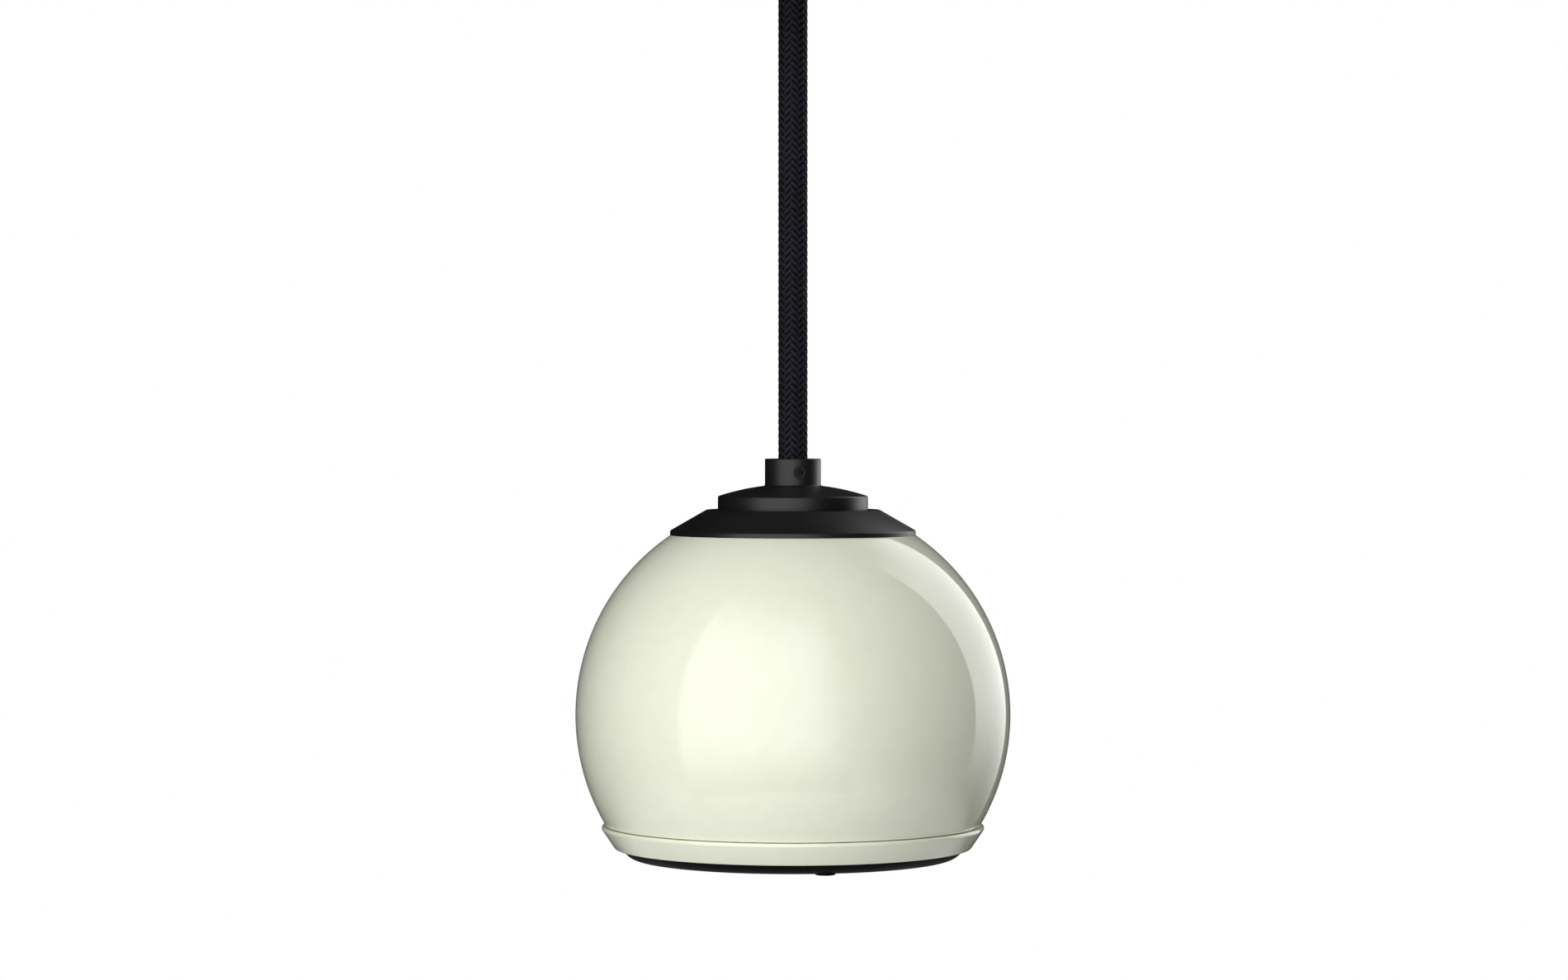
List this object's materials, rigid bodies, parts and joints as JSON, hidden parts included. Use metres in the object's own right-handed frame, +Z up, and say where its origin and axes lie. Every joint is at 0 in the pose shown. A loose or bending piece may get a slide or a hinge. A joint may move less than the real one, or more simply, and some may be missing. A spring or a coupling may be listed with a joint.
{
  "type": "pendant speaker",
  "caption": "Ball loudspeaker in glossy cream enamel that hangs on a braided cord from a black canopy, with a downward driver behind a perforated grille.",
  "frame": {"origin": "centre of the canopy's open rim, on the ceiling", "axes": "+Z up out of the ceiling along the cord's axis, -Y towards the viewer of the picture, +X to the viewer's right"},
  "size_m": [0.1, 0.1, 0.2323],
  "materials": {
    "cream_enamel": "gloss enamel on steel",
    "black_satin": "satin lacquer on turned metal",
    "grille_black": "powder coat",
    "textile_braid": "braided cotton",
    "zinc_plate": "zinc plated",
    "plain_steel": "blued steel",
    "basket_black": "black lacquer",
    "ferrite": "ground ferrite",
    "brass_tag": "tinned brass",
    "coil_copper": "enamelled copper",
    "former_foil": "foil",
    "cone_paper": "pressed paper",
    "spider_cloth": "resin treated cloth",
    "surround_rubber": "moulded rubber",
    "gasket_foam": "closed foam",
    "ring_board": "pressed board",
    "wadding_fibre": "loose fibre",
    "nylon_black": "moulded nylon",
    "strip_laminate": "paper laminate",
    "block_plastic": "moulded",
    "lead_red": "insulation",
    "lead_black": "insulation",
    "tinsel_braid": "braided tinsel"
  },
  "bodies": {
    "housing": {"ball_shell": "cream_enamel", "front_bezel": "cream_enamel", "grille": "grille_black", "crown_skirt": "black_satin", "gland_cap": "black_satin", "gland_grub_screw": "plain_steel", "cord": "textile_braid", "threaded_stem": "zinc_plate", "clamp_washer": "zinc_plate", "stem_nut": "zinc_plate", "cord_tie": "nylon_black", "wadding": "wadding_fibre", "lead_positive": "lead_red", "lead_negative": "lead_black", "driver_gasket": "gasket_foam", "driver_basket": "basket_black", "driver_screws": "plain_steel", "top_plate": "zinc_plate", "magnet_ring": "ferrite", "pole_yoke": "zinc_plate", "spider": "spider_cloth", "surround": "surround_rubber", "surround_ring": "ring_board", "tinsel_leads": "tinsel_braid", "terminal_strip": "strip_laminate", "terminal_tags": "brass_tag", "canopy": "black_satin", "canopy_grub_screw": "plain_steel", "canopy_cord_tie": "nylon_black", "ceiling_bracket": "zinc_plate", "canopy_side_screws": "black_satin", "terminal_block": "block_plastic", "block_fixing_screw": "zinc_plate", "clamp_screws": "brass_tag", "core_positive": "lead_red", "core_negative": "lead_black"},
    "cone": {"diaphragm": "cone_paper", "dust_cap": "cone_paper", "voice_coil_former": "former_foil", "voice_coil": "coil_copper"}
  },
  "joints": [
    {"name": "diaphragm_travel", "type": "slide", "parent": "housing", "child": "cone", "axis": [0, 0, 1], "range_m": [-0.0015, 0.0015], "stiffness_N_per_m": 1000, "deforming": ["surround", "spider", "tinsel_leads"]}
  ]
}
